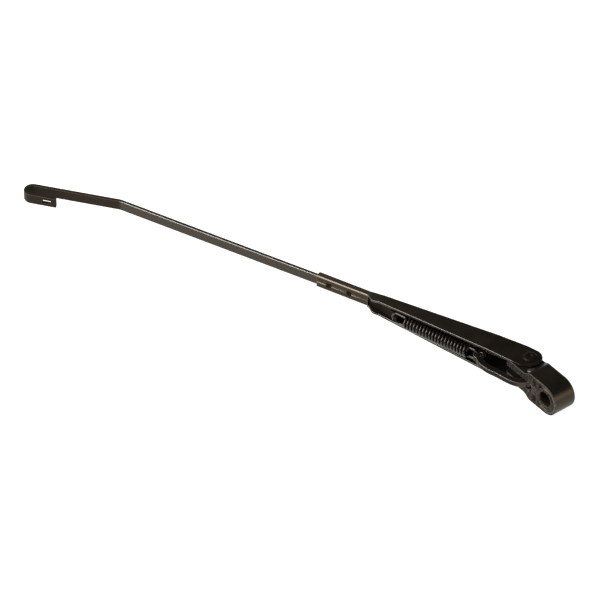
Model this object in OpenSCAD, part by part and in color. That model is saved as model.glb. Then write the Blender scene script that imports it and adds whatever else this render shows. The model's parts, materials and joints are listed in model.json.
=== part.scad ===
/* [Spindle head] */
// Width of the head across its rounded nose
head_w = 27.2; // [25:0.2:31]
// Depth of the head along the spindle
head_h = 20.9; // [20:0.1:23]
// Distance from the spindle to the shoulder where the head narrows
block_l = 17.5; // [16:0.5:18.5]
// Reach of the neck from the spindle
neck_reach = 48.5; // [46:0.5:50]
// Thickness of the rim round the underside
rim_t = 2.6; // [2:0.1:3.4]
// Depth of the recess in the underside
recess_d = 1.6; // [0.8:0.1:2.4]
// Width of the slot that the link works in
slot_w = 7.4; // [6.4:0.1:9]
// Clearance under the link's eye in the slot
slot_clear = 0.5; // [0.3:0.1:1]

/* [Spindle bore] */
// Diameter of the tapered bore at the underside
taper_mouth_d = 12.8; // [11.5:0.1:14]
// Diameter of the tapered bore at its small end
taper_end_d = 10.6; // [9.5:0.1:11.4]
// Diameter of the hole for the spindle's threaded end
stud_hole_d = 8.4; // [8.1:0.1:9.2]
// Diameter of the recess for the nut
nut_recess_d = 19; // [18:0.2:20.4]
// Depth of the recess for the nut
nut_recess_h = 6.4; // [5:0.2:7.4]
// Number of serrations in the tapered bore
serrations = 36; // [24:1:44]

/* [Pivot] */
// Distance of the pivot from the spindle along the head
pivot_x = 34.4; // [34:0.1:35.4]
// Height of the pivot above the head's back
pivot_rise = 7.2; // [6.8:0.1:7.6]
// Diameter of the rivet's shank
rivet_d = 6; // [5:0.1:6.4]
// Wall of the bush round the rivet
bush_wall = 0.8; // [0.6:0.1:1]
// Diameter of the rivet's heads
rivet_head_d = 11.6; // [10:0.2:13]
// Height of the rivet's heads
rivet_head_h = 1.75; // [1.2:0.05:2.2]
// Thickness of the washers between neck and channel
washer_t = 0.5; // [0.3:0.05:0.8]
// Diameter of the link's pin
pin_d = 5.5; // [4.5:0.1:5.8]

/* [Arm channel] */
// Angle between head and arm with the arm against its stop
arm_set = 21.5; // [20.5:0.1:22.5]
// Thickness of the pressed sheet
sheet_t = 1.6; // [1.2:0.05:1.7]
// Outer width of the channel at the pivot
channel_w = 23.9; // [23.2:0.1:25]
// Outer width of the channel where the sleeve's shoulder starts
channel_end_w = 14.8; // [14:0.1:17]
// Length from the pivot to the shoulder
channel_l = 137; // [132:1:160]
// Length of the shoulder between channel and sleeve
shoulder_l = 12; // [10:0.5:14]
// Length of the sleeve folded round the bar
sleeve_l = 46.3; // [40:0.5:56]
// Distance from the pivot out to the back of the web
web_out = 11.9; // [11.7:0.1:12.6]
// Distance from the pivot out to the flanks' free edges
flank_out = 12.2; // [11.6:0.1:12.8]
// Depth of the flank left at the shoulder, past the pivot's line
flank_end = -1.7; // [-2.5:0.1:-1]
// Radius of the round ears at the pivot
ear_r = 9.8; // [9:0.1:10]
// Inner radius of the bends between web and flanks
fold_r = 0.4; // [0.2:0.1:1.2]

/* [Arm bar] */
// Width of the bar
bar_w = 9; // [8:0.1:9.4]
// Thickness of the bar
bar_t = 3; // [2.6:0.1:3.2]
// Length of bar that shows between sleeve and bend
bar_l = 182.2; // [120:0.2:260]
// Angle of the bend towards the glass
bar_bend = 14.4; // [5:0.1:25]
// Length from the bend to the centre of the hook's turn
hook_run = 71; // [50:1:90]
// Clear gap inside the hook
hook_gap = 8.6; // [7:0.1:10]
// Length of the hook's free leg past the turn
hook_leg = 21.5; // [16:0.5:28]
// Length of the slot in the hook's leg
leg_slot_l = 7.4; // [5:0.1:8]
// Width of the slot in the hook's leg
leg_slot_w = 3.4; // [3:0.1:5]

/* [Spring and link] */
// Outer diameter of the spring
spring_d = 11; // [10:0.1:11.6]
// Diameter of the spring's wire
wire_d = 2; // [1.6:0.1:2.2]
// Number of coils
coils = 20; // [16:1:22]
// Thickness of the link
link_t = 4.4; // [3.6:0.1:5]
// Height of the link's bowed bar
link_bar = 4.6; // [4:0.1:4.8]

/* [Hidden] */

$fn = 48;
BLACK = "#26231f";
STEEL = "#8f8d89";
POLYMER = "#3c3a36";

run_gap = 0.05;              // running clearance of pins, bush and washers
seat_gap = 0.1;              // clearance between bar, web and claws
cut = 1;                     // how far a cut runs past the face that it opens
lap = 0.001;                 // how far pieces of one solid run into each other

// Head
head_r = head_w / 2;
neck_w = channel_w - 2 * (sheet_t + washer_t + 2 * run_gap);
pivot_drop = head_h - pivot_rise;
head_back_r = 3;             // rounding of the head's back edge
shoulder_run = 8;            // length over which the head narrows to its neck
neck_tip_r = 2.5;
neck_lead = 4.5;             // how much further the neck's front reaches than its back
heel_x = neck_reach - neck_lead;
heel_drop = 0.3;
boss_r = taper_mouth_d / 2 + 3.1;
mouth_chamfer = 0.8;
taper_l = 11;
serration_d = 0.55;
pad_x = 8.7;                 // middle of the bare pad across the head
pad_w = 3.2;
slot_end_x = 15.6;
boss_wall = 1.4;
prong_x = 5.2;               // from the pivot to where the fork is open right through
floor_back = 5;              // from the pivot back to the end of the slot's floor

// Pivot
bush_r = rivet_d / 2 + run_gap + bush_wall;
pivot_boss_r = bush_r + boss_wall;
ear_in = channel_w / 2 - sheet_t;
washer_r = ear_r - 2;

// The link's pin, in the arm's frame, lies on the line of the spring
link_hook = [41.4, 7.2];     // where the link holds the spring's wire
link_pin_at = [-7, 11.5];
pin_r = pin_d / 2;
eye_r = pin_r + 2.65;
slot_d = pivot_drop - link_pin_at[0] * sin(arm_set) - link_pin_at[1] * cos(arm_set)
    + eye_r + slot_clear;
wire_r = wire_d / 2;
coil_r = (spring_d - wire_d) / 2;
hook_hole_r = wire_r + 1.6;
hook_eye_r = hook_hole_r + 2.3;
hook_eye_at = link_hook + [loop_bears(link_t) - hook_hole_r, 0];
bow_mid = [22, 17.3];        // where the bow's two curves meet
bow_hook_pulls = [[39.5, 13], [31.5, 17]];
bow_pin_pulls = [[12, 17.6], [-3.5, 24.5]];

// Channel and sleeve
web_in = web_out - sheet_t;
bend_r = sheet_t + fold_r;   // outside of the bends
ear_back = ear_r + 0.9;      // depth of the ears where the web starts
web_start = 6.5;
taper_start = 35;
step_in = 0.04;              // each length of channel is this much inside the one before
root_l = 0.4;                // and starts this far inside it
sleeve_at = channel_l + shoulder_l;
sleeve_w = bar_w + 2 * sheet_t + 2 * seat_gap;
claw_lift = 0.4;
claw_in = -web_in + bar_t + seat_gap + claw_lift;
claw_out = claw_in + sheet_t;
claw_seam = 0.5;
stake_at = [17, 35];         // middles of the two stakings from the sleeve's start
stake_r = 5;
stake_d = 0.75;

// Bar
bar_set = 0.55;              // small angle between web and bar
bar_edge_r = 0.5;
bend_in_r = 12;
bar_y = -web_in + bar_t / 2 + run_gap;
tab_rise = 13.4;             // slope of the cranked inner end
tab_bend_r = 8;
tab_l = 21;
tongue_w = 4.4;
tongue_neck = 4;
tongue_l = 3.2;
tongue_mid_r = bar_t / 2 + loop_bears(tongue_w);

// Spring
anchor = tongue_seat();      // where the bar's tongue holds the spring's wire
spring_run = norm(anchor - link_hook);
spring_tilt = atan2(anchor[1] - link_hook[1], anchor[0] - link_hook[0]);
front_loop = 10.5;           // from the link's hook to the first coil
rear_loop = 13.3;            // from the last coil to the tongue
loop_tail = 2.4;             // from a loop's cut end to the coils
wire_sides = 8;
coil_steps = 18;

// Distance from the middle of a loop's wire to the edge of a flat piece of this width in it
function loop_bears(w) = coil_r - sqrt(pow(coil_r - wire_r, 2) - w * w / 4) + run_gap;

// Middle of the bend of the bar's tongue, in the arm's frame
function tongue_seat() = let (
    x = 1 + (tab_bend_r - tongue_mid_r) * sin(tab_rise) + (tab_l + tongue_neck) * cos(tab_rise),
    y = tab_bend_r - (tab_bend_r - tongue_mid_r) * cos(tab_rise)
        + (tab_l + tongue_neck) * sin(tab_rise))
    [sleeve_at - x * cos(bar_set) - y * sin(bar_set),
     bar_y - x * sin(bar_set) + y * cos(bar_set)];

function smooth(t) = (1 - cos(180 * t)) / 2;
function unit(v) = v / norm(v);
function bezier(a, b, c, d, t) =
    pow(1 - t, 3) * a + 3 * t * pow(1 - t, 2) * b + 3 * t * t * (1 - t) * c + pow(t, 3) * d;

// Puts children drawn in the arm's frame, pivot at the origin, into place
module in_arm() {
    translate([pivot_x, -pivot_drop, 0]) rotate(arm_set) children();
}

// A cylinder or cone about the spindle, from depth d0 down to depth d1
module spindle_cone(d0, d1, r0, r1) {
    translate([0, -d0, 0]) rotate([90, 0, 0]) cylinder(h = d1 - d0, r1 = r0, r2 = r1);
}

// Plan of the head seen along the spindle: nose, block, shoulder and neck
module head_plan() {
    steps = 12;
    half_neck = neck_w / 2;
    lower = [for (i = [0 : steps]) let (t = i / steps)
        [block_l + shoulder_run * t, -head_r + (head_r - half_neck) * smooth(t)]];
    upper = [for (i = [steps : -1 : 0]) [lower[i][0], -lower[i][1]]];
    circle(r = head_r, $fn = 96);
    polygon(concat([[0, -head_r]], lower, [[neck_reach, -half_neck], [neck_reach, half_neck]],
                   upper, [[0, head_r]]));
}

// Side of the head seen along the pivot: square block and a neck with a rounded tip
module head_side() {
    tip_x = neck_reach - neck_tip_r;
    back_x = heel_x - neck_tip_r;
    back_y = -head_h + heel_drop;
    translate([-head_r - cut, -head_h]) square([head_r + cut + back_x, head_h]);
    translate([tip_x - cut, -neck_tip_r]) circle(r = neck_tip_r);
    translate([back_x, back_y + neck_tip_r]) circle(r = neck_tip_r);
    polygon([[back_x, back_y], [heel_x, back_y + neck_tip_r],
             [neck_reach - cut, -neck_tip_r], [tip_x - cut, 0], [back_x, 0]]);
}

// Block and neck with the back edge rounded along the sides and round the nose
module head_blank() {
    intersection() {
        rotate([90, 0, 0]) linear_extrude(head_h) head_plan();
        linear_extrude(2 * head_w, center = true) head_side();
        union() {
            rotate([90, 0, 0]) rotate_extrude($fn = 96) nose_section();
            rotate([90, 0, 90]) linear_extrude(neck_reach) block_section();
        }
    }
}

// Half section of the nose, turned about the spindle
module nose_section() {
    square([head_r, head_h - head_back_r]);
    square([head_r - head_back_r, head_h]);
    translate([head_r - head_back_r, head_h - head_back_r]) circle(r = head_back_r);
}

// Section of the block, pushed along the head
module block_section() {
    half = head_r - head_back_r;
    deep = head_h - head_back_r;
    translate([-deep, -head_r]) square([deep, 2 * head_r]);
    translate([-head_h, -half]) square([head_h, 2 * half]);
    for (side = [-1, 1]) translate([-deep, side * half]) circle(r = head_back_r);
}

// Shallow recess between rim, boss and pad
module head_recess() {
    inner_r = head_r - rim_t;
    floor_end = slot_end_x - 1.4;
    rotate([90, 0, 0]) translate([0, 0, -cut]) linear_extrude(recess_d + cut) difference() {
        union() {
            circle(r = inner_r, $fn = 96);
            translate([0, -inner_r]) square([floor_end, 2 * inner_r]);
        }
        circle(r = boss_r);
        translate([pad_x - pad_w / 2, -inner_r]) square([pad_w, 2 * inner_r]);
        translate([pad_x, -boss_r / 2]) square([floor_end, boss_r]);
    }
}

// Slot for the link, with the pivot's boss and the floor left standing
module head_slot() {
    half = slot_w / 2;
    intersection() {
        rotate([90, 0, 0]) translate([0, 0, -cut]) linear_extrude(head_h + 2 * cut) {
            translate([slot_end_x + half, 0]) circle(r = half);
            translate([slot_end_x + half, -half]) square([neck_reach, slot_w]);
        }
        linear_extrude(slot_w, center = true) difference() {
            translate([0, -head_h - cut]) square([neck_reach + cut, head_h + 2 * cut]);
            translate([0, -head_h - 2 * cut]) square([pivot_x - floor_back, head_h + 2 * cut - slot_d]);
            translate([pivot_x, -pivot_drop]) circle(r = pivot_boss_r);
            translate([pivot_x - floor_back - cut, -head_h - 2 * cut])
                square([floor_back + cut + prong_x, head_h + 2 * cut - pivot_drop]);
        }
    }
}

// Tapered bore with serrations, the stud's hole and the nut's recess
module spindle_bore() {
    mouth_r = taper_mouth_d / 2;
    end_r = taper_end_d / 2;
    lean = atan((mouth_r - end_r) / taper_l);
    spindle_cone(-cut, 0, mouth_r + mouth_chamfer + cut, mouth_r + mouth_chamfer);
    spindle_cone(0, mouth_chamfer, mouth_r + mouth_chamfer, mouth_r);
    spindle_cone(mouth_chamfer, taper_l, mouth_r, end_r);
    spindle_cone(taper_l - cut, head_h + cut, stud_hole_d / 2, stud_hole_d / 2);
    spindle_cone(head_h - nut_recess_h, head_h + cut, nut_recess_d / 2, nut_recess_d / 2);
    for (i = [0 : serrations - 1]) rotate([0, i * 360 / serrations, 0])
        translate([mouth_r, -mouth_chamfer / 2, 0]) rotate([90, 0, 0]) rotate([0, -lean, 0])
            linear_extrude(taper_l - mouth_chamfer)
                rotate(45) square(serration_d * sqrt(2), center = true);
}

module mounting_head() {
    color(BLACK) difference() {
        head_blank();
        head_recess();
        head_slot();
        spindle_bore();
        translate([pivot_x, -pivot_drop, 0]) cylinder(h = 2 * head_w, r = bush_r, center = true);
        in_arm() translate(link_pin_at) cylinder(h = 2 * head_w, r = pin_r, center = true);
    }
}

// Region inside the bend between web and flank, with the flank's face along y = 0
module inside_bend(inset) {
    r = bend_r - inset;
    x0 = -web_out + inset;
    reach = web_out + 2 * flank_out;
    translate([x0 + r, -3 * channel_w]) square([reach, 3 * channel_w - inset]);
    translate([x0, -3 * channel_w]) square([reach, 3 * channel_w - inset - r]);
    translate([x0 + r, -inset - r]) circle(r = r);
}

// Half a length of channel whose outer width changes evenly from w0 to w1, stepped in a little
module half_channel(from, to, w0, w1, step) {
    lean = atan((w0 - w1) / 2 / (to - from));
    root = step > 0 ? root_l : 0;
    over = 3;
    intersection() {
        translate([from, step, w0 / 2 - step]) rotate([0, lean, 0]) translate([-over, 0, 0])
            rotate([90, 0, 90]) linear_extrude((to - from) / cos(lean) + 2 * over) difference() {
                inside_bend(0);
                inside_bend(sheet_t);
            }
        translate([from - root, -web_out - cut, 0])
            cube([to - from + root, web_out + 2 * flank_out, w0]);
    }
}

module channel_blank() {
    for (side = [0, 1]) mirror([0, 0, side]) {
        half_channel(-ear_r - cut, taper_start, channel_w, channel_w, 0);
        half_channel(taper_start, channel_l, channel_w, channel_end_w, step_in);
        half_channel(channel_l, sleeve_at, channel_end_w, sleeve_w, 2 * step_in);
    }
}

// Side of the channel: round ear, straight free edge and the shoulder down to the sleeve
module channel_side() {
    steps = 10;
    edge_end = [channel_l + 4, flank_end + 0.6];
    shoulder = [for (i = [0 : steps]) let (t = i / steps)
        [edge_end[0] + (sleeve_at - edge_end[0]) * t,
         edge_end[1] + (claw_out - edge_end[1]) * smooth(t)]];
    circle(r = ear_r, $fn = 96);
    polygon(reversed(concat([[web_start, -web_out - cut], [web_start, 0], [-3.4, ear_r - 0.65],
                             [3.6, flank_out - 0.7], [channel_l, flank_end]],
                            shoulder, [[sleeve_at + cut, claw_out], [sleeve_at + cut, -web_out - cut]])));
    polygon([[0, -ear_r], [web_start, -ear_back], [web_start, 0], [0, 0]]);
}

// Section of the sleeve: a rounded box round the bar with a seam between the claws
module sleeve_section() {
    difference() {
        hull_free_box(-web_out + 3 * step_in, claw_out, sleeve_w - 6 * step_in, bend_r);
        translate([-web_in, -bar_w / 2 - seat_gap])
            square([claw_in + web_in, bar_w + 2 * seat_gap]);
        translate([claw_in - cut, -claw_seam / 2]) square([sheet_t + 2 * cut, claw_seam]);
    }
}

// Rectangle from x0 to x1 with rounded corners
module hull_free_box(x0, x1, w, r) {
    translate([x0 + r, -w / 2]) square([x1 - x0 - 2 * r, w]);
    translate([x0, -w / 2 + r]) square([x1 - x0, w - 2 * r]);
    for (x = [x0 + r, x1 - r], y = [-w / 2 + r, w / 2 - r]) translate([x, y]) circle(r = r);
}

module sleeve() {
    difference() {
        translate([sleeve_at - root_l, 0, 0]) rotate([90, 0, 90])
            linear_extrude(sleeve_l + root_l) sleeve_section();
        for (x = stake_at) translate([sleeve_at + x, claw_out + stake_r - stake_d, 0])
            cylinder(h = tongue_w + 1, r = stake_r, center = true);
    }
}

module arm_channel() {
    color(BLACK) in_arm() {
        difference() {
            intersection() {
                channel_blank();
                linear_extrude(2 * channel_w, center = true) channel_side();
            }
            cylinder(h = 2 * channel_w, r = rivet_d / 2, center = true);
        }
        sleeve();
    }
}

// Section of the bar, thickness along x and width along y, with small edge radii
module bar_section(w) {
    hull_free_box(-bar_t / 2, bar_t / 2, w, bar_edge_r);
}

// A straight length of bar from the origin along x
module bar_run(l, w) {
    rotate([90, 0, 90]) linear_extrude(l) bar_section(w);
}

// A bend of the bar from the origin, turning left or right; children carry on from its end
module bar_turn(angle, r, w) {
    side = sign(angle);
    translate([0, side * r, 0]) rotate(angle > 0 ? -90 : 90 + angle)
        rotate_extrude(angle = abs(angle), $fn = 96) translate([r, 0]) bar_section(w);
    translate([r * sin(abs(angle)), side * r * (1 - cos(angle)), 0]) rotate(angle)
        translate([-lap, 0, 0]) children();
}

// Turned leg of the hook with its slot
module hook_end() {
    turn_r = (hook_gap + bar_t) / 2;
    bar_run(hook_run, bar_w);
    translate([hook_run, 0, 0]) bar_turn(180, turn_r, bar_w) difference() {
        bar_run(hook_leg, bar_w);
        translate([hook_leg - 4 - leg_slot_l, -bar_t, -leg_slot_w / 2])
            cube([leg_slot_l, 2 * bar_t, leg_slot_w]);
    }
}

// Poses [x, y, heading] along a line: straight on, and round a left turn
function ahead(p, l) = [p[0] + l * cos(p[2]), p[1] + l * sin(p[2]), p[2]];
function round_left(p, r, a, steps) = [for (i = [1 : steps]) let (h = p[2] + a * i / steps)
    [p[0] + r * (sin(h) - sin(p[2])), p[1] + r * (cos(p[2]) - cos(h)), h]];

// Flat strip of the bar's thickness along poses
module strip(poses, w) {
    half = bar_t / 2;
    function beside(p, d) = [p[0] - d * sin(p[2]), p[1] + d * cos(p[2])];
    linear_extrude(w, center = true)
        polygon(concat([for (p = poses) beside(p, -half)], [for (p = reversed(poses)) beside(p, half)]));
}

// Cranked inner end with the tongue that the spring hangs on
module bar_tab() {
    start = [1, 0, 0];
    rise = round_left(start, tab_bend_r, tab_rise, 8);
    tab_end = ahead(rise[7], tab_l);
    tongue_end = ahead(tab_end, tongue_neck);
    turn = round_left(tongue_end, tongue_mid_r, 90 - tab_rise, 16);
    strip(concat([[-lap, 0, 0], start], rise, [tab_end]), bar_w);
    strip(concat([ahead(tab_end, -1), tongue_end], turn, [ahead(turn[15], tongue_l)]), tongue_w);
}

module arm_rod() {
    color(BLACK) in_arm() translate([sleeve_at, bar_y, 0]) rotate(bar_set) {
        bar_run(sleeve_l + bar_l, bar_w);
        translate([sleeve_l + bar_l, 0, 0]) bar_turn(bar_bend, bend_in_r, bar_w) hook_end();
        rotate([0, 180, 0]) bar_tab();
    }
}

// Path of the spring's wire, from its loop at the link to its loop on the tongue
function loop_points(far, out, turn) = [for (a = [0 : 12 : 180])
    [far + out * coil_r * (1 - sin(a)), 0, turn * coil_r * cos(a)]];
function coil_points(x0, x1, turns) = let (n = turns * coil_steps) [for (i = [1 : n - 1])
    let (a = 360 * turns * i / n)
    [x0 + (x1 - x0) * i / n, coil_r * sin(a), -coil_r * cos(a)]];
function reversed(p) = [for (i = [len(p) - 1 : -1 : 0]) p[i]];
function spring_path() = let (
    x0 = front_loop,
    x1 = spring_run - rear_loop,
    turns = coils - 0.5)
    concat([[x0 - loop_tail, 0, coil_r]], loop_points(0, 1, 1), [[x0 - 1.5, 0, -coil_r]],
           coil_points(x0, x1, turns),
           [[x1 + 1.5, 0, coil_r]], loop_points(spring_run, -1, 1),
           [[x1 + loop_tail, 0, -coil_r]]);

// Tube along a path: rings of points carried along with least twist, then faces between them
module wire_along(path, r, sides) {
    n = len(path);
    dirs = [for (i = [0 : n - 1]) unit(path[min(i + 1, n - 1)] - path[max(i - 1, 0)])];
    first = unit(cross(dirs[0], [0, 1, 0.01]));
    normals = [for (i = 0, v = first; i < n; i = i + 1,
                    v = i < n ? unit(v - (v * dirs[i]) * dirs[i]) : v) v];
    rings = [for (i = [0 : n - 1]) let (b = cross(dirs[i], normals[i]))
        for (k = [0 : sides - 1]) let (a = 360 * k / sides)
            path[i] + r * (cos(a) * normals[i] + sin(a) * b)];
    walls = [for (i = [0 : n - 2], k = [0 : sides - 1]) let (m = (k + 1) % sides)
        [i * sides + k, (i + 1) * sides + k, (i + 1) * sides + m, i * sides + m]];
    polyhedron(rings, concat([[for (k = [0 : sides - 1]) k]], walls,
                             [[for (k = [sides - 1 : -1 : 0]) (n - 1) * sides + k]]),
               convexity = 10);
}

module tension_spring() {
    color(BLACK) in_arm() translate(link_hook) rotate(spring_tilt)
        wire_along(spring_path(), wire_r, wire_sides);
}

// Middle line of the link's bow, from the spring's eye (t = 0) to the pin (t = 2)
function bow_at(t) = t < 1
    ? bezier(hook_eye_at, bow_hook_pulls[0], bow_hook_pulls[1], bow_mid, t)
    : bezier(bow_mid, bow_pin_pulls[0], bow_pin_pulls[1], link_pin_at, t - 1);
function bow_side(t) = let (d = unit(bow_at(t + 0.02) - bow_at(t - 0.02))) [-d[1], d[0]];

// Bowed bar of the link: two edges at half its height either side of its middle line
module link_bow() {
    steps = 40;
    ts = [for (i = [0 : steps]) 2 * i / steps];
    polygon(concat([for (t = ts) bow_at(t) - link_bar / 2 * bow_side(t)],
                   [for (i = [steps : -1 : 0]) bow_at(ts[i]) + link_bar / 2 * bow_side(ts[i])]));
}

module spring_link() {
    color(BLACK) in_arm() difference() {
        linear_extrude(link_t, center = true) {
            link_bow();
            translate(hook_eye_at) circle(r = hook_eye_r);
            translate(link_pin_at) circle(r = eye_r);
        }
        translate(hook_eye_at) cylinder(h = 2 * link_t, r = hook_hole_r, center = true);
        translate(link_pin_at) cylinder(h = 2 * link_t, r = pin_r + run_gap, center = true);
    }
}

// Half section of the rivet: shank, and a domed head with a dimple
module rivet_half() {
    head_r2 = rivet_head_d / 2;
    z0 = channel_w / 2;
    square([rivet_d / 2, z0 + rivet_head_h * 0.55]);
    polygon([[0, z0], [head_r2, z0], [head_r2, z0 + rivet_head_h * 0.3],
             [head_r2 * 0.82, z0 + rivet_head_h * 0.8], [head_r2 * 0.55, z0 + rivet_head_h],
             [head_r2 * 0.36, z0 + rivet_head_h * 0.95], [head_r2 * 0.2, z0 + rivet_head_h * 0.55],
             [0, z0 + rivet_head_h * 0.5]]);
}

module pivot_rivet() {
    color(BLACK) in_arm() rotate_extrude($fn = 64) {
        rivet_half();
        mirror([0, 1]) rivet_half();
    }
}

module pivot_bush() {
    color(STEEL) in_arm() difference() {
        cylinder(h = neck_w, r = bush_r, center = true);
        cylinder(h = neck_w + cut, r = rivet_d / 2 + run_gap, center = true);
    }
}

module pivot_washers() {
    z0 = neck_w / 2 + run_gap;
    color(POLYMER) in_arm() for (side = [0, 1]) mirror([0, 0, side]) translate([0, 0, z0])
        difference() {
            cylinder(h = washer_t, r = washer_r);
            translate([0, 0, -cut]) cylinder(h = washer_t + 2 * cut, r = rivet_d / 2 + run_gap);
        }
}

module link_pin() {
    color(STEEL) in_arm() translate(link_pin_at)
        cylinder(h = neck_w, r = pin_r, center = true);
}

mounting_head();
arm_channel();
arm_rod();
tension_spring();
spring_link();
pivot_rivet();
pivot_bush();
pivot_washers();
link_pin();
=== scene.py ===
"""Looks of a sprung windscreen wiper arm: worn black paint on castings, sheet, bar and wire."""

from __future__ import annotations

import json
import logging
import math
from dataclasses import dataclass, field
from enum import Enum
from typing import Any, ClassVar, Sequence

import bmesh
import bpy
from mathutils import Matrix, Vector

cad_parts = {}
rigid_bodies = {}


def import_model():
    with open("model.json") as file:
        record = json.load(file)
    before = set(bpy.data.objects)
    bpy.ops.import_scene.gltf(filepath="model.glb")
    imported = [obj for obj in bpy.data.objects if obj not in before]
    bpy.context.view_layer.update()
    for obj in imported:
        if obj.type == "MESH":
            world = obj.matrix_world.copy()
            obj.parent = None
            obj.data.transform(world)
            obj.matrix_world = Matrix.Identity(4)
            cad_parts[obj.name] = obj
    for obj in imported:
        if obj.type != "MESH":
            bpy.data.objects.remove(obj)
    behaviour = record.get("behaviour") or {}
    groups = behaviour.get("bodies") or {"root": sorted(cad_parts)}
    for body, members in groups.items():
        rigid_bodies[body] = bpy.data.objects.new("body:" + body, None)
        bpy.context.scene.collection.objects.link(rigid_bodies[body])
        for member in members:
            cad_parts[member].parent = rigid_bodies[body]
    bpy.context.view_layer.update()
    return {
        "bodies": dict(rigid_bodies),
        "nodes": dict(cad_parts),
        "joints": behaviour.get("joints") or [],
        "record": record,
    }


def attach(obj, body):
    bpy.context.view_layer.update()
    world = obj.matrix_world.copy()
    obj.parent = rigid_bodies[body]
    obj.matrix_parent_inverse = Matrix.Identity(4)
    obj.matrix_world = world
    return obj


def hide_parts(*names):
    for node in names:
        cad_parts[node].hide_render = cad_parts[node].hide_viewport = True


LOG = logging.getLogger("wiper_arm")
MM = 0.001

# The arm's angle to the head at rest. The places are along the arm, from the frame's origin:
# the ear's front, the sleeve's start, the two stakings, the bar's bend, and past every piece.
ARM_SET_DEG = 21.5
EAR_MM = 37.0
SLEEVE_MM = 174.0
STAKES_MM = (192.6, 211.1)
BEND_MM = 405.5
FAR_MM = 1000.0

# Sockets of a colour mix node, by number, because its names repeat.
MIX_A, MIX_B, MIX_COLOUR = 6, 7, 2


def linear(hex_colour: str) -> tuple[float, float, float, float]:
    """Turn an sRGB hex colour into linear light.

    Args:
        hex_colour: The colour as six hex digits, such as "1d1b19".

    Returns:
        Red, green, blue and an alpha of 1.
    """
    parts = [int(hex_colour[i : i + 2], 16) / 255 for i in (0, 2, 4)]
    r, g, b = (c / 12.92 if c <= 0.04045 else ((c + 0.055) / 1.055) ** 2.4 for c in parts)
    return (r, g, b, 1.0)


def put(
    tree: bpy.types.NodeTree,
    kind: str,
    inputs: dict[str | int, Any] | None = None,
    links: dict[str | int, bpy.types.NodeSocket] | None = None,
    **settings: Any,
) -> bpy.types.Node:
    """Add one node with its settings, input values and links.

    Args:
        tree: The tree that gets the node.
        kind: The node's type.
        inputs: Values by input name or number.
        links: Sockets that feed inputs, by input name or number.
        settings: Properties of the node itself.

    Returns:
        The new node.
    """
    node = tree.nodes.new(kind)
    for name, value in settings.items():
        setattr(node, name, value)
    for name, value in (inputs or {}).items():
        node.inputs[name].default_value = value
    for name, socket in (links or {}).items():
        tree.links.new(socket, node.inputs[name])
    return node


def blank_material(name: str) -> tuple[bpy.types.Material, bpy.types.NodeTree]:
    """Make a material whose node tree is still empty.

    Args:
        name: The material's name.

    Returns:
        The material and its tree.
    """
    mat = bpy.data.materials.new(name)
    mat.use_nodes = True
    mat.node_tree.nodes.clear()
    return mat, mat.node_tree


class Grain(Enum):
    """How the metal under the paint was made, and how far its marks are drawn out lengthwise."""

    CAST = ("cast", 1.0)
    PRESSED = ("pressed", 1.0)
    DRAWN = ("drawn", 12.5)
    WOUND = ("wound", 1.0)

    @property
    def run(self) -> float:
        """How many times longer than wide the marks are."""
        return self.value[1]


@dataclass(frozen=True)
class Coat:
    """The fresh paint's sockets, which wear works on.

    Attributes:
        here: The place on the piece.
        facing: Which way the surface faces.
        peel: The paint's fine unevenness.
        rounded: The normal with its edges rounded.
        colour: The paint's colour.
        roughness: The paint's roughness.
        level: The paint's specular level.
    """

    here: bpy.types.NodeSocket
    facing: bpy.types.NodeSocket
    peel: bpy.types.NodeSocket
    rounded: bpy.types.NodeSocket
    colour: bpy.types.NodeSocket
    roughness: bpy.types.NodeSocket
    level: float


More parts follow.
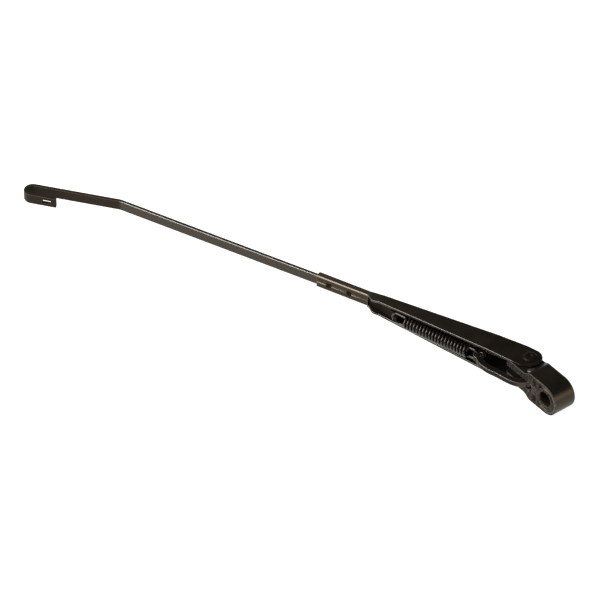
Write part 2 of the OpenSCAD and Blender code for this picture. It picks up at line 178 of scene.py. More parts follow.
@dataclass(frozen=True)
class WearAndShade:
    """What use did to the paint: grey steel at the edges, dull and brown where it is thin, and
    painted shade in the stakings.

    Attributes:
        bare: The rubbed steel's colour.
        brown: The colour of a thin coat.
        stake_shade: Painted shade in the stakings, a colour darker than the paint there so that
            the dimples show.
        edge: Share of bare steel on the sharp edges.
        edge_from_mm: Where along the arm bare steel starts, on edges and bends alike.
        bend: Share of bare steel on the rounded bends.
        brown_beyond_mm: Where along the arm the thin coat starts.
        dull_before_mm: Up to where the paint is wholly dull.
        dull_beyond_mm: From where the paint is dull again.
        dull_beyond: How dull it is there.
        dull_under: How dull the side toward the glass is.
        specks: How strongly grit glints on the side toward the glass.
        stakes_mm: Middles of the stakings along the arm.
        stake_mm: Width of a staking.
    """

    bare: str = "98948e"
    brown: str = "2b241a"
    # Painted shade: the darker colour that fills the stakings.
    stake_shade: str = "1e1a15"
    edge: float = 0.0
    edge_from_mm: float = -FAR_MM
    bend: float = 0.0
    brown_beyond_mm: float = FAR_MM
    dull_before_mm: float = -FAR_MM
    dull_beyond_mm: float = FAR_MM
    dull_beyond: float = 0.0
    dull_under: float = 0.0
    specks: float = 0.0
    stakes_mm: tuple[float, ...] = ()
    stake_mm: float = 4.8

    # Half the length over which one state of the paint runs into the next.
    BLEND_MM: ClassVar[float] = 1.5
    # Cosines between the rounded and the flat normal where an edge's wear starts and is full.
    EDGE_TURN: ClassVar[tuple[float, float]] = (0.998, 0.95)
    # Squared rise of a bend's normal, and how far round the bend the wear reaches.
    BEND_RISE: ClassVar[float] = 0.5
    BEND_REACH: ClassVar[float] = 0.24
    # Cosines to the glass from which a face starts to count as facing it, and does in full.
    UNDER_TURN: ClassVar[tuple[float, float]] = (0.75, 0.92)
    # How much bare steel dulling hides, the specular level it leaves, and what it roughens.
    DULL_HIDES: ClassVar[float] = 0.85
    DULL_LEVEL: ClassVar[float] = 0.03
    DULL_ROUGHENS: ClassVar[float] = 0.25
    # The part of the paint's unevenness that stands out as grit.
    GRIT_RANGE: ClassVar[tuple[float, float]] = (0.5, 0.66)

    def dulled(
        self,
        tree: bpy.types.NodeTree,
        coat: Coat,
        inner: bpy.types.NodeSocket,
        outer: bpy.types.NodeSocket,
    ) -> tuple[bpy.types.NodeSocket, bpy.types.NodeSocket, bpy.types.NodeSocket]:
        """Work out where the paint is dull.

        Args:
            tree: The paint's tree.
            coat: The fresh paint.
            inner: Step from 0 to 1 where the inner dull length ends.
            outer: Step up to the outer length's dullness.

        Returns:
            Dullness of the ends, of the side toward the glass, and of both together.
        """
        hidden = put(tree, "ShaderNodeMath", {0: 1.0}, {1: inner}, operation="SUBTRACT")
        ends = put(
            tree, "ShaderNodeMath", None, {0: hidden.outputs[0], 1: outer}, operation="MAXIMUM"
        ).outputs[0]
        to_glass = put(
            tree,
            "ShaderNodeVectorMath",
            {1: (0.0, 1.0, 0.0)},
            {0: coat.facing},
            operation="DOT_PRODUCT",
        ).outputs["Value"]
        starts, full = self.UNDER_TURN
        under = put(
            tree,
            "ShaderNodeMapRange",
            {"From Min": starts, "From Max": full, "To Min": 0.0, "To Max": self.dull_under},
            {"Value": to_glass},
        ).outputs["Result"]
        both = put(tree, "ShaderNodeMath", None, {0: ends, 1: under}, operation="MAXIMUM")
        return ends, under, both.outputs[0]

    def rubbed(self, tree: bpy.types.NodeTree, coat: Coat) -> bpy.types.NodeSocket:
        """Find the sharp edges and the rounded bends that use has rubbed.

        Args:
            tree: The paint's tree.
            coat: The fresh paint.

        Returns:
            The share of bare steel, before its place along the arm counts.
        """
        flat = put(tree, "ShaderNodeNewGeometry").outputs["Normal"]
        turn = put(
            tree, "ShaderNodeVectorMath", None, {0: coat.rounded, 1: flat}, operation="DOT_PRODUCT"
        ).outputs["Value"]
        starts, full = self.EDGE_TURN
        edge = put(
            tree,
            "ShaderNodeMapRange",
            {"From Min": starts, "From Max": full, "To Min": 0.0, "To Max": self.edge},
            {"Value": turn},
        ).outputs["Result"]
        rise = put(tree, "ShaderNodeSeparateXYZ", None, {"Vector": coat.facing}).outputs["Z"]
        squared = put(tree, "ShaderNodeMath", None, {0: rise, 1: rise}, operation="MULTIPLY")
        on_bend = put(
            tree,
            "ShaderNodeMath",
            {1: self.BEND_RISE, 2: self.BEND_REACH},
            {0: squared.outputs[0]},
            operation="COMPARE",
        )
        bend = put(
            tree, "ShaderNodeMath", {1: self.bend}, {0: on_bend.outputs[0]}, operation="MULTIPLY"
        )
        either = put(
            tree, "ShaderNodeMath", None, {0: edge, 1: bend.outputs[0]}, operation="MAXIMUM"
        )
        return either.outputs[0]

    def staked(
        self, tree: bpy.types.NodeTree, coat: Coat, along: bpy.types.NodeSocket
    ) -> bpy.types.NodeSocket:
        """Mask the stakings, which lie on the middle plane, for their painted shade.

        Args:
            tree: The paint's tree.
            coat: The fresh paint.
            along: The place along the arm, in metres.

        Returns:
            1 in a staking and 0 elsewhere.
        """
        half = self.stake_mm / 2 * MM
        height = put(tree, "ShaderNodeSeparateXYZ", None, {"Vector": coat.here}).outputs["Z"]
        seam = put(
            tree, "ShaderNodeMath", {1: 0.0, 2: half}, {0: height}, operation="COMPARE"
        ).outputs[0]
        hits = [
            put(tree, "ShaderNodeMath", {1: at * MM, 2: half}, {0: along}, operation="COMPARE")
            for at in self.stakes_mm
        ]
        mask = hits[0].outputs[0]
        for hit in hits[1:]:
            mask = put(
                tree, "ShaderNodeMath", None, {0: mask, 1: hit.outputs[0]}, operation="MAXIMUM"
            ).outputs[0]
        both = put(tree, "ShaderNodeMath", None, {0: mask, 1: seam}, operation="MULTIPLY")
        return both.outputs[0]

    def apply(self, tree: bpy.types.NodeTree, coat: Coat) -> dict[str, bpy.types.NodeSocket]:
        """Put wear and painted shade on the fresh paint.

        Args:
            tree: The paint's tree.
            coat: The fresh paint.

        Returns:
            The worn paint's sockets, by the shader's input.
        """
        slope = math.radians(ARM_SET_DEG)
        along = put(
            tree,
            "ShaderNodeVectorMath",
            {1: (math.cos(slope), math.sin(slope), 0.0)},
            {0: coat.here},
            operation="DOT_PRODUCT",
        ).outputs["Value"]
        inner, outer, exposed, thin = (
            put(
                tree,
                "ShaderNodeMapRange",
                {
                    "From Min": (at - self.BLEND_MM) * MM,
                    "From Max": (at + self.BLEND_MM) * MM,
                    "To Min": 0.0,
                    "To Max": height,
                },
                {"Value": along},
            ).outputs["Result"]
            for at, height in (
                (self.dull_before_mm, 1.0),
                (self.dull_beyond_mm, self.dull_beyond),
                (self.edge_from_mm, 1.0),
                (self.brown_beyond_mm, 1.0),
            )
        )
        ends, under, dull = self.dulled(tree, coat, inner, outer)
        open_to_wear = put(
            tree,
            "ShaderNodeMath",
            {1: -self.DULL_HIDES, 2: 1.0},
            {0: ends},
            operation="MULTIPLY_ADD",
        )
        rub_factors = [open_to_wear.outputs[0], exposed]
        fresh = put(
            tree,
            "ShaderNodeMapRange",
            {"To Min": coat.level, "To Max": self.DULL_LEVEL},
            {"Value": dull},
        )
        starts, full = self.GRIT_RANGE
        grit = put(
            tree,
            "ShaderNodeMapRange",
            {"From Min": starts, "From Max": full, "To Min": 0.0, "To Max": self.specks},
            {"Value": coat.peel},
        )
        level = put(
            tree,
            "ShaderNodeMath",
            None,
            {0: under, 1: grit.outputs["Result"], 2: fresh.outputs["Result"]},
            operation="MULTIPLY_ADD",
        ).outputs[0]
        roughness = put(
            tree,
            "ShaderNodeMath",
            {1: self.DULL_ROUGHENS},
            {0: dull, 2: coat.roughness},
            operation="MULTIPLY_ADD",
        ).outputs[0]
        # The stakings get painted shade: a darker colour, their gloss taken away and no bare
        # steel.
        stakings = None
        if self.stakes_mm:
            stakings = self.staked(tree, coat, along)
            clear = put(
                tree, "ShaderNodeMath", {0: 1.0}, {1: stakings}, operation="SUBTRACT"
            ).outputs[0]
            level = put(
                tree, "ShaderNodeMath", None, {0: level, 1: clear}, operation="MULTIPLY"
            ).outputs[0]
            rub_factors.append(clear)
        rub = self.rubbed(tree, coat)
        for factor in rub_factors:
            rub = put(
                tree, "ShaderNodeMath", None, {0: rub, 1: factor}, operation="MULTIPLY"
            ).outputs[0]
        colour = coat.colour
        # Brown where the coat is thin, bare steel where it is rubbed, and painted shade in the
        # stakings.
        for over, share in ((self.brown, thin), (self.bare, rub), (self.stake_shade, stakings)):
            if share is not None:
                colour = put(
                    tree,
                    "ShaderNodeMix",
                    {MIX_B: linear(over)},
                    {0: share, MIX_A: colour},
                    data_type="RGBA",
                ).outputs[MIX_COLOUR]
        return {
            "Base Color": colour,
            "Metallic": rub,
            "Specular IOR Level": level,
            "Roughness": roughness,
        }


@dataclass(frozen=True)
class BlackPaint:
    """Black stoving paint, dipped and baked: to the eye a thin even skin with a soft warm gloss.

    Attributes:
        name: The finish's name.
        grain: How the metal under it was made.
        colour: The paint's colour.
        clouded: Its colour where it has gone a little grey.
        glint: The tint of its gloss.
        roughness: Its middle roughness.
        gloss_level: Its specular level.
        peel_mm: Size of its unevenness, drawn coarser than the real one so that it shows.
        peel_height_mm: Height of its unevenness.
        edge_mm: How far an edge is rounded.
        wear: What use has done to it, with painted shade in any stakings, or nothing for a piece
            that is out of reach.
    """

    name: str
    grain: Grain
    colour: str = "100e0b"
    clouded: str = "1d1914"
    glint: str = "ffdcb0"
    roughness: float = 0.2
    gloss_level: float = 0.45
    peel_mm: float = 1.6
    peel_height_mm: float = 0.006
    edge_mm: float = 0.3
    wear: WearAndShade | None = None

    # Size of the clouds in the paint, and the turn that lays its marks along the arm.
    CLOUD_MM: ClassVar[float] = 14.0
    MARKS_TURN_DEG: ClassVar[float] = -22.0
    # Noise values from which the clouds tint the paint, up to where, and how far.
    CLOUD_TINTS: ClassVar[tuple[float, float, float]] = (0.35, 0.75, 0.5)
    # Noise values over which they change the roughness, what they take from it and add to it.
    CLOUD_DULLS: ClassVar[tuple[float, float]] = (0.3, 0.7)
    SMOOTHER: ClassVar[float] = 0.04
    ROUGHER: ClassVar[float] = 0.07
    EDGE_SAMPLES: ClassVar[int] = 16

    def build(self) -> bpy.types.Material:
        """Build the paint's node material.

        Returns:
            The new material.
        """
        mat, tree = blank_material(self.name)
        place = put(tree, "ShaderNodeTexCoord").outputs
        laid = put(
            tree,
            "ShaderNodeMapping",
            {
                "Scale": (1 / self.grain.run, 1, 1),
                "Rotation": (0, 0, math.radians(self.MARKS_TURN_DEG)),
            },
            {"Vector": place["Object"]},
        ).outputs["Vector"]
        peel = put(
            tree,
            "ShaderNodeTexNoise",
            {"Scale": 1 / (self.peel_mm * MM), "Detail": 3.0, "Roughness": 0.5},
            {"Vector": laid},
        ).outputs["Fac"]
        cloud = put(
            tree,
            "ShaderNodeTexNoise",
            {"Scale": 1 / (self.CLOUD_MM * MM), "Detail": 4.0, "Roughness": 0.6},
            {"Vector": laid},
        ).outputs["Fac"]
        starts, full, most = self.CLOUD_TINTS
        shade = put(
            tree,
            "ShaderNodeMapRange",
            {"From Min": starts, "From Max": full, "To Min": 0.0, "To Max": most},
            {"Value": cloud},
        ).outputs["Result"]
        colour = put(
            tree,
            "ShaderNodeMix",
            {MIX_A: linear(self.colour), MIX_B: linear(self.clouded)},
            {0: shade},
            data_type="RGBA",
        ).outputs[MIX_COLOUR]
        starts, full = self.CLOUD_DULLS
        roughness = put(
            tree,
            "ShaderNodeMapRange",
            {
                "From Min": starts,
                "From Max": full,
                "To Min": self.roughness - self.SMOOTHER,
                "To Max": self.roughness + self.ROUGHER,
            },
            {"Value": cloud},
        ).outputs["Result"]
        rounded = put(
            tree, "ShaderNodeBevel", {"Radius": self.edge_mm * MM}, samples=self.EDGE_SAMPLES
        ).outputs["Normal"]
        bump = put(
            tree,
            "ShaderNodeBump",
            {"Strength": 1.0, "Distance": self.peel_height_mm * MM},
            {"Height": peel, "Normal": rounded},
        ).outputs["Normal"]
        looks: dict[str | int, bpy.types.NodeSocket] = {
            "Base Color": colour,
            "Roughness": roughness,
            "Normal": bump,
        }
        if self.wear:
            coat = Coat(
                place["Object"],
                place["Normal"],
                peel,
                rounded,
                colour,
                roughness,
                self.gloss_level,
            )
            looks |= self.wear.apply(tree, coat)
        shader = put(
            tree,
            "ShaderNodeBsdfPrincipled",
            {
                "IOR": 1.5,
                "Specular Tint": linear(self.glint),
                "Specular IOR Level": self.gloss_level,
            },
            looks,
        )
        put(tree, "ShaderNodeOutputMaterial", None, {"Surface": shader.outputs["BSDF"]})
        return mat


@dataclass(frozen=True)
class BareMetal:
    """Turned steel of the bush and pin: to the eye a dull oily grey with fine tool marks.

    Attributes:
        name: The finish's name.
        colour: The steel's colour.
        roughness: Its middle roughness.
        mark_mm: Size of the tool marks, drawn coarser than the real ones so that they show.
    """

    name: str
    colour: str = "8f8d88"
    roughness: float = 0.38
    mark_mm: float = 0.3

    # How much the marks take from the roughness and add to it.
    SMOOTHER: ClassVar[float] = 0.08
    ROUGHER: ClassVar[float] = 0.12

    def build(self) -> bpy.types.Material:
        """Build the steel's node material.

        Returns:
            The new material.
        """
        mat, tree = blank_material(self.name)
        here = put(tree, "ShaderNodeTexCoord").outputs["Object"]
        turned = put(
            tree,
            "ShaderNodeTexNoise",
            {"Scale": 1 / (self.mark_mm * MM), "Detail": 2.0},
            {"Vector": here},
        )
        gloss = put(
            tree,
            "ShaderNodeMapRange",
            {"To Min": self.roughness - self.SMOOTHER, "To Max": self.roughness + self.ROUGHER},
            {"Value": turned.outputs["Fac"]},
        )
        shader = put(
            tree,
            "ShaderNodeBsdfPrincipled",
            {"Base Color": linear(self.colour), "Metallic": 1.0},
            {"Roughness": gloss.outputs["Result"]},
        )
        put(tree, "ShaderNodeOutputMaterial", None, {"Surface": shader.outputs["BSDF"]})
        return mat


@dataclass(frozen=True)
class MouldedNylon:
    """Dark moulded nylon of the thrust washers: to the eye matt and slightly waxy.

    Attributes:
        name: The finish's name.
        colour: The nylon's colour.
        roughness: Its roughness.
        skin_mm: Size of the skin's unevenness, drawn coarser than the real one so that it shows.
        skin_height_mm: Its height.
    """

    name: str
    colour: str = "2e2c29"
    roughness: float = 0.55
    skin_mm: float = 0.5
    skin_height_mm: float = 0.01

    def build(self) -> bpy.types.Material:
        """Build the nylon's node material.

        Returns:
            The new material.
        """
        mat, tree = blank_material(self.name)
        here = put(tree, "ShaderNodeTexCoord").outputs["Object"]
        skin = put(
            tree, "ShaderNodeTexNoise", {"Scale": 1 / (self.skin_mm * MM)}, {"Vector": here}
        )
        bump = put(
            tree,
            "ShaderNodeBump",
            {"Distance": self.skin_height_mm * MM},
            {"Height": skin.outputs["Fac"]},
        )
        shader = put(
            tree,
            "ShaderNodeBsdfPrincipled",
            {"Base Color": linear(self.colour), "Roughness": self.roughness, "IOR": 1.53},
            {"Normal": bump.outputs["Normal"]},
        )
        put(tree, "ShaderNodeOutputMaterial", None, {"Surface": shader.outputs["BSDF"]})
        return mat


@dataclass
class SolidPiece:
    """A rigid piece whose solid has its true form: a merged and shaded copy stands for it.

    Attributes:
        node: The solid's name.
        body: The body that it rides on.
        slot: The name of a material slot, which is not used.
        finish: Its finish.
        smooth_deg: Edges that turn further than this stay sharp.
    """

    node: str
    body: str
    slot: str
    finish: BlackPaint | BareMetal | MouldedNylon
    smooth_deg: float = 32.0

    # Points nearer than the first are one, and edges shorter than the second go.
    MERGE_MM: ClassVar[float] = 0.002
    SPECK_MM: ClassVar[float] = 0.001
    # How strongly a large face keeps its own normal beside a narrow bend.
    FLATNESS: ClassVar[int] = 50

    def merged(self, source: bpy.types.Object) -> bpy.types.Mesh:
        """Copy a solid's loose triangles and join them.

        Args:
            source: The solid's object.

        Returns:
            The joined mesh, with no material.
        """
        mesh = source.data.copy()
        mesh.name = self.node + "_skin"
        work = bmesh.new()
        work.from_mesh(mesh)
        bmesh.ops.remove_doubles(work, verts=work.verts, dist=self.MERGE_MM * MM)
        bmesh.ops.dissolve_degenerate(work, edges=work.edges, dist=self.SPECK_MM * MM)
        work.to_mesh(mesh)
        work.free()
        mesh.materials.clear()
        return mesh

    def build(
        self, frame: dict[str, Any], made: dict[str, bpy.types.Material]
    ) -> bpy.types.Object:
        """Copy the solid's mesh, dress it and put it on its body.

        Args:
            made: Materials by name, added to here.

        Returns:
            The new piece.
        """
        mesh = self.merged(frame["nodes"][self.node])
        if self.finish.name not in made:
            made[self.finish.name] = self.finish.build()
        mesh.materials.append(made[self.finish.name])
        mesh.shade_smooth()
        mesh.set_sharp_from_angle(angle=math.radians(self.smooth_deg))
        piece = bpy.data.objects.new(self.node + "_finished", mesh)
        bpy.context.scene.collection.objects.link(piece)
        flat = piece.modifiers.new("flat_faces_stay_flat", "WEIGHTED_NORMAL")
        flat.mode, flat.weight, flat.keep_sharp = "FACE_AREA", self.FLATNESS, True
        graph = bpy.context.evaluated_depsgraph_get()
        shaded = bpy.data.meshes.new_from_object(piece.evaluated_get(graph))
        piece.modifiers.clear()
        piece.data = shaded
        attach(piece, self.body)
        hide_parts(self.node)
        LOG.info("%s: %d faces on %s", piece.name, len(shaded.polygons), self.body)
        return piece


@dataclass
class WoundSpring:
    """The tension spring: one wire, wound close, with a half loop turned up at each end.

    Sizes are in millimetres, in the arm's own frame on its pivot.

    Attributes:
        wire_d: The wire's diameter.
        coil_d: The coils' outer diameter.
        turns: Number of turns between the loops.
        hook: Where the front loop bears on the link's eye.
        seat: Where the rear loop bears on the bar's tongue.
        front_loop: From the front bearing to the first coil.
        rear_loop: From the rear bearing to the last coil.
        tail: How far a loop's open end runs on beside the coils.
        lead: How far a coil runs out as it turns into a loop.
        steps: Points on each turn.
        arc_step_deg: Angle between a loop's points.
        sides: Sides of the wire.
        pivot: The pivot in the row frame.
    """

    wire_d: float = 2.0
    coil_d: float = 11.0
    turns: float = 19.5
    hook: tuple[float, float] = (41.4, 7.2)
    front_loop: float = 10.5
    rear_loop: float = 13.3
    tail: float = 2.4
    lead: float = 1.5
    steps: int = 32
    arc_step_deg: int = 9
    sides: int = 14
    seat: tuple[float, float] = (122.51, 0.245)
    pivot: tuple[float, float] = (34.4, -13.7)

    def path(self) -> list[Vector]:
        """Lay out the wire's middle line in the row frame.

        Returns:
            Its points, in metres.
        """
        r = (self.coil_d - self.wire_d) / 2
        ax, ay = self.seat[0] - self.hook[0], self.seat[1] - self.hook[1]
        run, tilt = math.hypot(ax, ay), math.atan2(ay, ax)
        x0, x1 = self.front_loop, run - self.rear_loop
        pts: list[tuple[float, float, float]] = [(x0 - self.tail, 0, r)]
        arc = [math.radians(a) for a in range(0, 181, self.arc_step_deg)]
        pts += [(r * (1 - math.sin(a)), 0, r * math.cos(a)) for a in arc]
        pts.append((x0 - self.lead, 0, -r))
        n = int(self.turns * self.steps)
        for i in range(1, n):
            a = 2 * math.pi * self.turns * i / n
            pts.append((x0 + (x1 - x0) * i / n, r * math.sin(a), -r * math.cos(a)))
        pts.append((x1 + self.lead, 0, r))
        pts += [(run - r * (1 - math.sin(a)), 0, r * math.cos(a)) for a in arc]
        pts.append((x1 + self.tail, 0, -r))
        placed = (
            Matrix.Translation((self.pivot[0], self.pivot[1], 0))
            @ Matrix.Rotation(math.radians(ARM_SET_DEG), 4, "Z")
            @ Matrix.Translation((self.hook[0], self.hook[1], 0))
            @ Matrix.Rotation(tilt, 4, "Z")
        )
        return [placed @ Vector(p) * MM for p in pts]

    def tree(self, paint: bpy.types.Material) -> tuple[bpy.types.NodeTree, dict[str, str]]:
        """Build the tree that sweeps a round wire along a line of edges.

        Args:
            paint: The material that the wire gets.

        Returns:
            The tree, and its inputs' identifiers by name.
        """
        tree = bpy.data.node_groups.new("wire_along_line", "GeometryNodeTree")
        ids: dict[str, str] = {}
        tree.interface.new_socket("Geometry", in_out="INPUT", socket_type="NodeSocketGeometry")
        for name, kind in (("Wire Radius", "NodeSocketFloat"), ("Sides", "NodeSocketInt")):
            made = tree.interface.new_socket(name, in_out="INPUT", socket_type=kind)
            ids[name] = made.identifier
        tree.interface.new_socket("Geometry", in_out="OUTPUT", socket_type="NodeSocketGeometry")
        given = put(tree, "NodeGroupInput").outputs
        line = put(tree, "GeometryNodeMeshToCurve", None, {"Mesh": given["Geometry"]})
        ring = put(
            tree,
            "GeometryNodeCurvePrimitiveCircle",
            None,
            {"Resolution": given["Sides"], "Radius": given["Wire Radius"]},
        )
        wire = put(
            tree,
            "GeometryNodeCurveToMesh",
            {"Fill Caps": True},
            {"Curve": line.outputs["Curve"], "Profile Curve": ring.outputs["Curve"]},
        )
        smooth = put(tree, "GeometryNodeSetShadeSmooth", None, {"Geometry": wire.outputs["Mesh"]})
        whole = put(
            tree, "GeometryNodeRealizeInstances", None, {"Geometry": smooth.outputs["Geometry"]}
        )
        dressed = put(
            tree,
            "GeometryNodeSetMaterial",
            {"Material": paint},
            {"Geometry": whole.outputs["Geometry"]},
        )
        put(tree, "NodeGroupOutput", None, {"Geometry": dressed.outputs["Geometry"]})
        return tree, ids

    def build(self, paint: bpy.types.Material) -> bpy.types.Object:
        """Sweep the wire, turn the result into a plain mesh and put it on the arm.

        Args:
            paint: The wire's material.

        Returns:
            The new piece.
        """
        points = self.path()
        line = bpy.data.meshes.new("spring_line")
        line.from_pydata(points, [(i, i + 1) for i in range(len(points) - 1)], [])
        carrier = bpy.data.objects.new("spring_line", line)
        bpy.context.scene.collection.objects.link(carrier)
        tree, ids = self.tree(paint)
        sweep = carrier.modifiers.new("wire", "NODES")
        sweep.node_group = tree
        sweep[ids["Wire Radius"]] = self.wire_d / 2 * MM
        sweep[ids["Sides"]] = self.sides
        graph = bpy.context.evaluated_depsgraph_get()
        mesh = bpy.data.meshes.new_from_object(carrier.evaluated_get(graph))
        bpy.data.objects.remove(carrier)
        piece = bpy.data.objects.new("tension_spring_wound", mesh)
        bpy.context.scene.collection.objects.link(piece)
        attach(piece, "arm")
        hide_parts("tension_spring")
        LOG.info("%s: %d faces", piece.name, len(mesh.polygons))
        return piece


@dataclass(frozen=True)
class Lamp:
    """A square soft box.

    Attributes:
        name: Its name.
        at: Its place in metres.
        size: Its side in metres.
        power: Its power in watts.
    """

    name: str
    at: tuple[float, float, float]
    size: float
    power: float


@dataclass
class Studio:
    """White table, soft light and the camera of the photograph.

    Attributes:
        azimuth: The camera's direction round the part, in degrees.
        elevation: Its height over the table, in degrees.
        aim: The point that it looks at, in millimetres.
        distance: How far it stands off, in millimetres.
        scale_px: Pixels for each millimetre at the aim.
        image_px: The photograph's width.
        sensor_mm: The sensor's width.
        floor_z: The table's height, in millimetres.
        floor_half: Half the table's side, in metres.
        floor_grey: How much light the table gives back.
        floor_glow: The light that it gives itself, so that no shadow shows under the part.
        air_tint: The room's colour, a little warm.
        air_light: The room's light, so low that upper sides stay dark.
        lamps: The soft boxes.
        lamps_aim: Where they point, in metres.
    """

    azimuth: float = 231.9
    elevation: float = 41.4
    aim: tuple[float, float, float] = (208.5, 77.1, 0.0)
    distance: float = 4175.0
    scale_px: float = 1.265
    image_px: float = 600.0
    sensor_mm: float = 36.0
    floor_z: float = -13.7
    floor_half: float = 12.0
    floor_grey: float = 0.5
    floor_glow: float = 0.95
    air_tint: tuple[float, float, float, float] = (1, 0.9, 0.78, 1)
    air_light: float = 0.06
    lamps: Sequence[Lamp] = (
        Lamp("key", (1.36, 2.38, 2.05), 3.0, 260),
        Lamp("bar_side", (1.2, -0.24, 0.7), 0.8, 0.5),
        Lamp("nose_side", (-1.9, -1.1, 0.6), 1.0, 14),
    )
    lamps_aim: tuple[float, float, float] = (0.2, 0.07, 0.0)

    def camera(self) -> None:
        """Place the camera at the photograph's viewing angle."""
        a, e = math.radians(self.azimuth), math.radians(self.elevation)
        back = Vector((math.sin(a) * math.cos(e), -math.cos(a) * math.cos(e), math.sin(e)))
        data = bpy.data.cameras.new("camera")
        data.sensor_width = self.sensor_mm
        data.lens = self.sensor_mm * self.distance * self.scale_px / self.image_px
        data.clip_start, data.clip_end = 0.05, 60.0
        cam = bpy.data.objects.new("camera", data)
        bpy.context.scene.collection.objects.link(cam)
        cam.location = (Vector(self.aim) + back * self.distance) * MM
        cam.rotation_euler = (-back).to_track_quat("-Z", "Y").to_euler()
        bpy.context.scene.camera = cam

    def light(self, lamp: Lamp) -> None:
        """Add a soft box that faces the part.

        Args:
            lamp: The soft box.
        """
        data = bpy.data.lights.new(lamp.name, "AREA")
        data.shape = "SQUARE"
        data.size = lamp.size
        data.energy = lamp.power
        box = bpy.data.objects.new(lamp.name, data)
        bpy.context.scene.collection.objects.link(box)
        box.location = lamp.at
        aim = Vector(self.lamps_aim) - Vector(lamp.at)
        box.rotation_euler = aim.to_track_quat("-Z", "Y").to_euler()

    def table(self) -> None:
        """Add the white table."""
        mesh = bpy.data.meshes.new("table")
        s = self.floor_half
        mesh.from_pydata([(-s, -s, 0), (s, -s, 0), (s, s, 0), (-s, s, 0)], [], [(0, 1, 2, 3)])
        mat, tree = blank_material("white_table")
        shader = put(
            tree,
            "ShaderNodeBsdfPrincipled",
            {
                "Base Color": (self.floor_grey, self.floor_grey, self.floor_grey, 1),
                "Roughness": 0.9,
                "Emission Color": (1, 1, 1, 1),
                "Emission Strength": self.floor_glow,
            },
        )
        put(tree, "ShaderNodeOutputMaterial", None, {"Surface": shader.outputs["BSDF"]})
        mesh.materials.append(mat)
        table = bpy.data.objects.new("table", mesh)
        table.location.z = self.floor_z * MM
        bpy.context.scene.collection.objects.link(table)

    def air(self) -> None:
        """Set the room's light and plain colours."""
        world = bpy.data.worlds.new("room")
        world.use_nodes = True
        shade = world.node_tree.nodes["Background"]
        shade.inputs["Color"].default_value = self.air_tint
        shade.inputs["Strength"].default_value = self.air_light
        bpy.context.scene.world = world
        bpy.context.scene.view_settings.view_transform = "Standard"
        bpy.context.scene.view_settings.look = "None"

    def build(self) -> None:
        """Set up camera, room, table and lamps."""
        self.camera()
        self.air()
        self.table()
        for lamp in self.lamps:
            self.light(lamp)


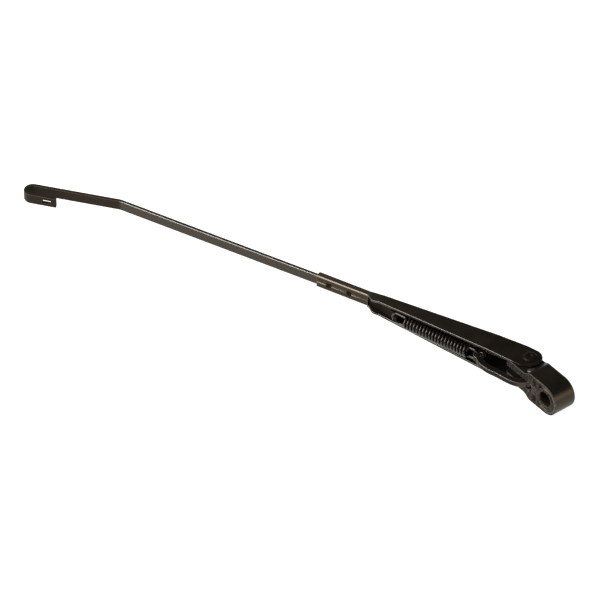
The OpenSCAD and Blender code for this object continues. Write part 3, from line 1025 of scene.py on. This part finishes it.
@dataclass
class WiperArm:
    """The whole arm: every solid's finished copy, and the spring.

    Attributes:
        casting: Paint on the die-cast head.
        pressing: Paint on the channel.
        strap: Paint on the link.
        bar: Paint on the flat bar.
        wire: Paint on the spring.
        head_paint: Paint on the rivet.
        steel: The bush and the pin.
        nylon: The washers.
        made: Materials by name, as they are made.
    """

    # Grit under the paint: matt and sandy, with bright points toward the glass.
    casting: BlackPaint = BlackPaint(
        "black_stoved_zinc_casting",
        Grain.CAST,
        peel_mm=0.9,
        peel_height_mm=0.02,
        roughness=0.36,
        gloss_level=0.34,
        edge_mm=0.35,
        wear=WearAndShade(edge=0.45, dull_under=0.9, specks=0.9),
    )
    # Smooth sheet: wide soft reflections, grey lines on the free edges, painted shade in the
    # stakings.
    pressing: BlackPaint = BlackPaint(
        "black_stoved_sheet_steel",
        Grain.PRESSED,
        edge_mm=0.8,
        wear=WearAndShade(
            bare="706d68",
            edge=0.75,
            edge_from_mm=EAR_MM,
            bend=0.45,
            brown_beyond_mm=SLEEVE_MM,
            dull_under=0.85,
            # Painted shade darkens the two stakings.
            stakes_mm=STAKES_MM,
        ),
    )
    # Thin stamping: two narrow bright edges and a dark face between them.
    strap: BlackPaint = BlackPaint(
        "black_stoved_link_sheet",
        Grain.PRESSED,
        edge_mm=0.4,
        wear=WearAndShade(edge=0.7, dull_under=0.9),
    )
    # Drawn flat bar: a brownish face between two edges rubbed to steel.
    bar: BlackPaint = BlackPaint(
        "black_stoved_drawn_bar",
        Grain.DRAWN,
        roughness=0.22,
        gloss_level=0.23,
        glint="fff2e0",
        edge_mm=0.4,
        wear=WearAndShade(
            brown="241e17",
            edge=0.62,
            bend=0.7,
            brown_beyond_mm=SLEEVE_MM,
            dull_before_mm=SLEEVE_MM,
            dull_beyond_mm=BEND_MM,
            dull_beyond=0.9,
        ),
    )
    # Dipped wire out of reach of wear: glossy, a thin bright line on each coil.
    wire: BlackPaint = BlackPaint(
        "black_dipped_spring_wire", Grain.WOUND, edge_mm=0.02, roughness=0.13, glint="fff2e0"
    )
    # Paint over the closed rivet: nearly matt black.
    head_paint: BlackPaint = BlackPaint(
        "black_stoved_rivet", Grain.PRESSED, edge_mm=0.1, roughness=0.34, gloss_level=0.1
    )
    # Turned steel with oil on it: a dull grey that only shows in the gaps.
    steel: BareMetal = BareMetal("turned_bush_steel")
    # Moulded nylon: a dark matt line beside the ear.
    nylon: MouldedNylon = MouldedNylon("moulded_nylon_washer")
    made: dict[str, bpy.types.Material] = field(default_factory=dict)

    def pieces(self) -> list[SolidPiece]:
        """List the rigid pieces with their bodies, slots and finishes.

        Returns:
            The pieces, in the order in which they are built.
        """
        return [
            SolidPiece("mounting_head", "head", "painted_casting", self.casting),
            SolidPiece("pivot_bush", "head", "bush_steel", self.steel),
            SolidPiece("link_pin", "head", "bush_steel", self.steel),
            SolidPiece("arm_channel", "arm", "painted_sheet", self.pressing),
            SolidPiece("arm_rod", "arm", "painted_bar", self.bar),
            SolidPiece("pivot_rivet", "arm", "painted_rivet", self.head_paint),
            SolidPiece("pivot_washers", "arm", "washer_polymer", self.nylon),
            SolidPiece("spring_link", "link", "painted_sheet", self.strap),
        ]

    def build(self, frame: dict[str, Any]) -> None:
        """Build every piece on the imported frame.
        """
        for piece in self.pieces():
            piece.build(frame, self.made)
        self.made[self.wire.name] = self.wire.build()
        WoundSpring().build(self.made[self.wire.name])


def main() -> None:
    """Build the studio and the arm."""
    logging.basicConfig(level=logging.INFO, format="%(name)s %(message)s")
    for thing in list(bpy.data.objects):
        bpy.data.objects.remove(thing)
    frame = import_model()
    Studio().build()
    WiperArm().build(frame)


if __name__ == "__main__":
    main()
